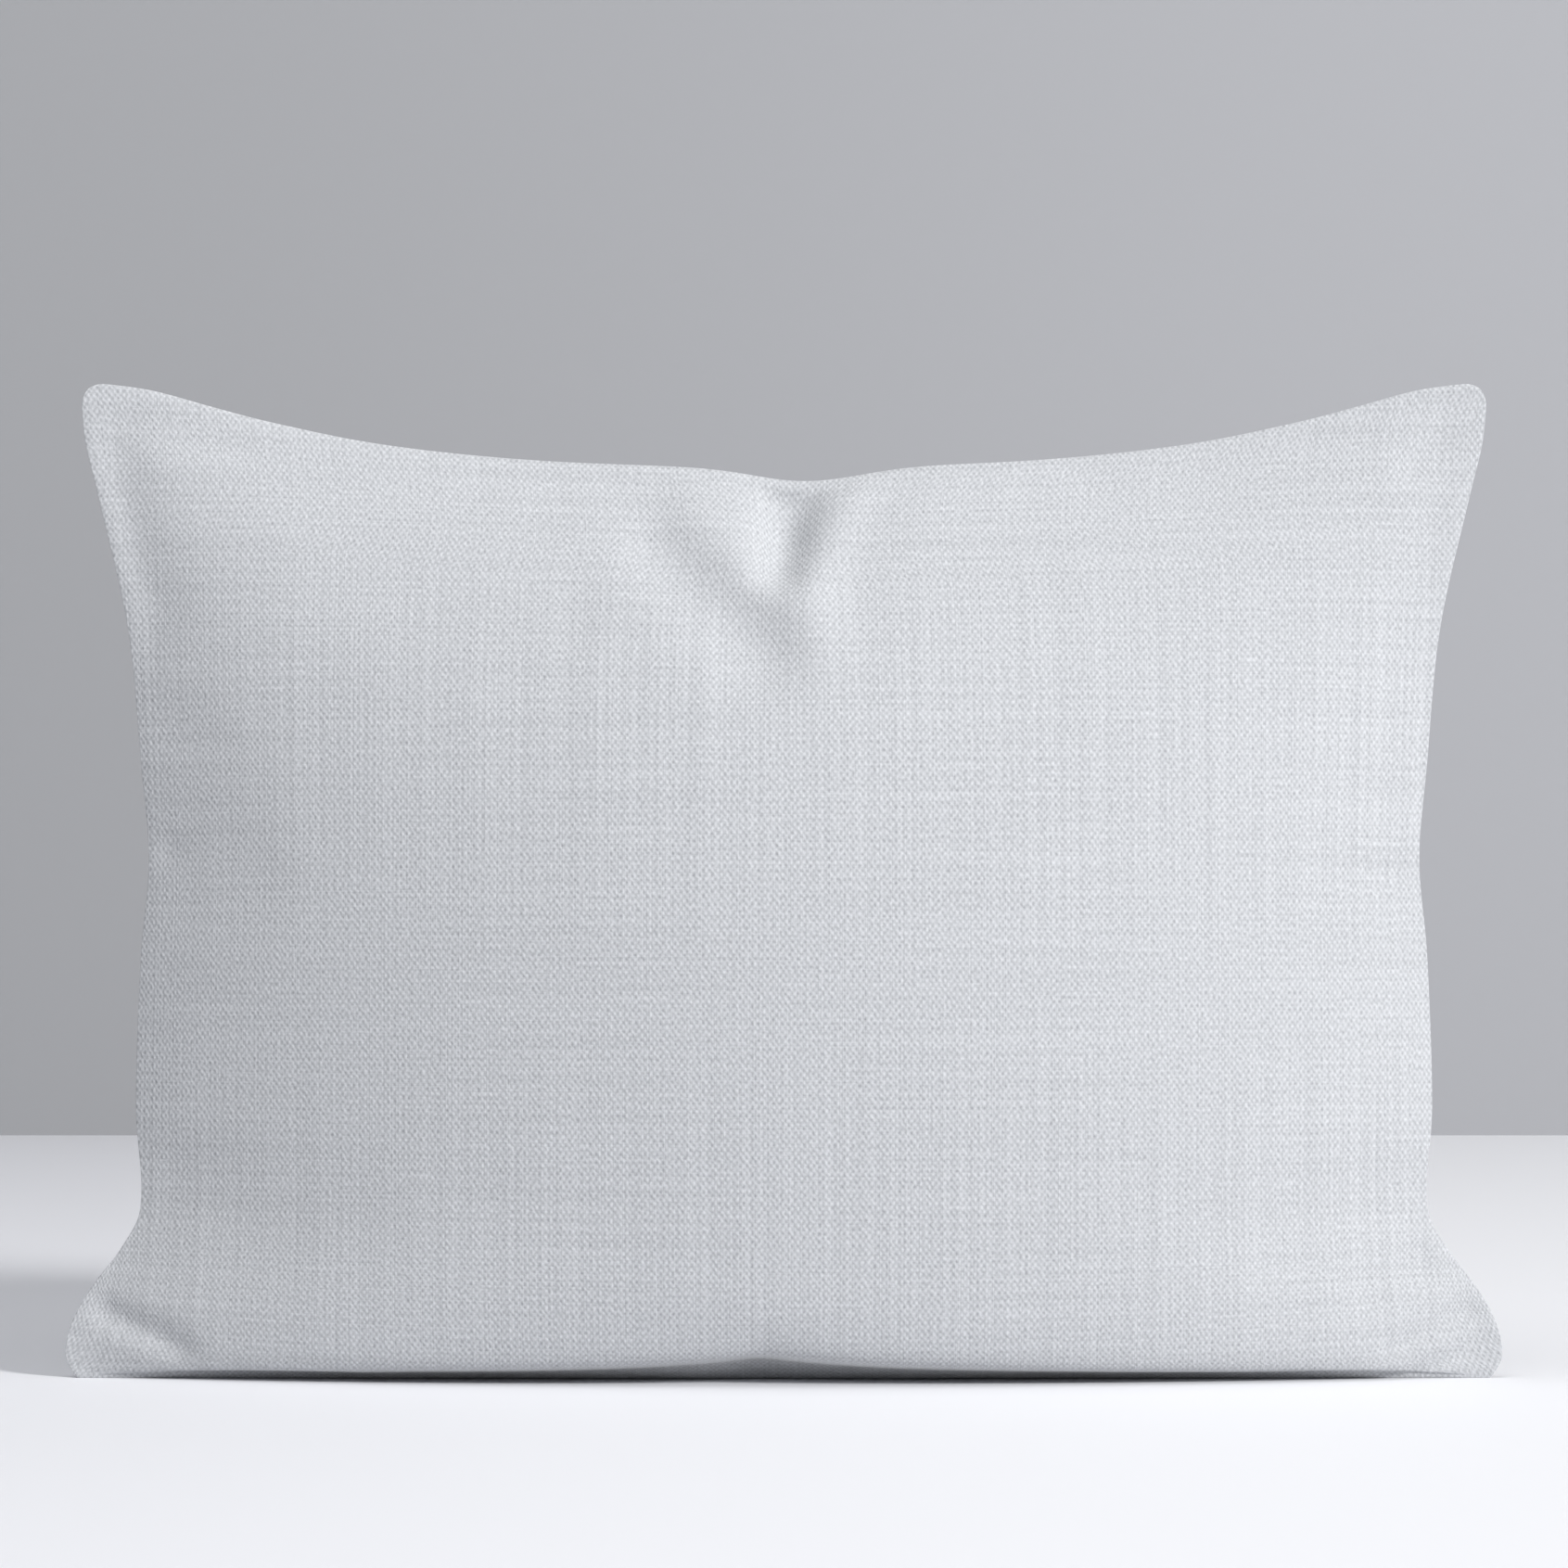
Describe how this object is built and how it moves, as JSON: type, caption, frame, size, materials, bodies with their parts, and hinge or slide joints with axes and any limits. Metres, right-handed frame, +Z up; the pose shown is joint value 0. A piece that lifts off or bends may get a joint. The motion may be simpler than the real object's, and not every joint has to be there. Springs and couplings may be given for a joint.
{
  "type": "rectangular cushion pillow",
  "caption": "Plump rectangular pillow standing on its long edge: plain woven knife-edge cover with a zip across the lower back, around a fibre-filled insert.",
  "frame": {"origin": "centre of the footprint, on the surface the pillow stands on", "axes": "+X along the long edge, +Y from the front panel to the zipped back, +Z up"},
  "size_m": [0.5086, 0.1038, 0.3515],
  "materials": {
    "cover_cloth": "matte",
    "insert_cloth": "matte",
    "fibre": "matte",
    "sewing_thread": "satin",
    "label_tape": "satin",
    "zip_tape": "matte",
    "zip_coil": "satin",
    "zip_metal": "satin"
  },
  "bodies": {
    "pillow": {"cover_front_panel": "cover_cloth", "cover_back_upper_panel": "cover_cloth", "cover_back_lower_panel": "cover_cloth", "cover_seam_thread": "sewing_thread", "care_label": "label_tape", "insert_casing_front": "insert_cloth", "insert_casing_back": "insert_cloth", "insert_seam_thread": "sewing_thread", "insert_closing_stitches": "sewing_thread", "fibre_fill": "fibre", "zip_tape_upper": "zip_tape", "zip_tape_lower": "zip_tape", "zip_coil_upper": "zip_coil", "zip_coil_lower": "zip_coil", "zip_topstitch_upper": "sewing_thread", "zip_topstitch_lower": "sewing_thread", "zip_top_stops": "zip_metal", "zip_bottom_stop": "zip_metal", "zip_bar_tacks": "sewing_thread"},
    "zip_slider": {"zip_slider": "zip_metal"},
    "zip_pull": {"zip_pull": "zip_metal"}
  },
  "joints": [
    {"name": "zip_travel", "type": "hinge", "parent": "pillow", "child": "zip_slider", "pos_m": [0, -0.55756, 0], "axis": [0, 0, 1], "range_deg": [0, 30.1]},
    {"name": "pull_swing", "type": "hinge", "parent": "zip_slider", "child": "zip_pull", "pos_m": [0.15785, 0.02915, 0.06367], "axis": [-0.0335, -0.1244, -0.9917], "range_deg": [0, 178]}
  ]
}
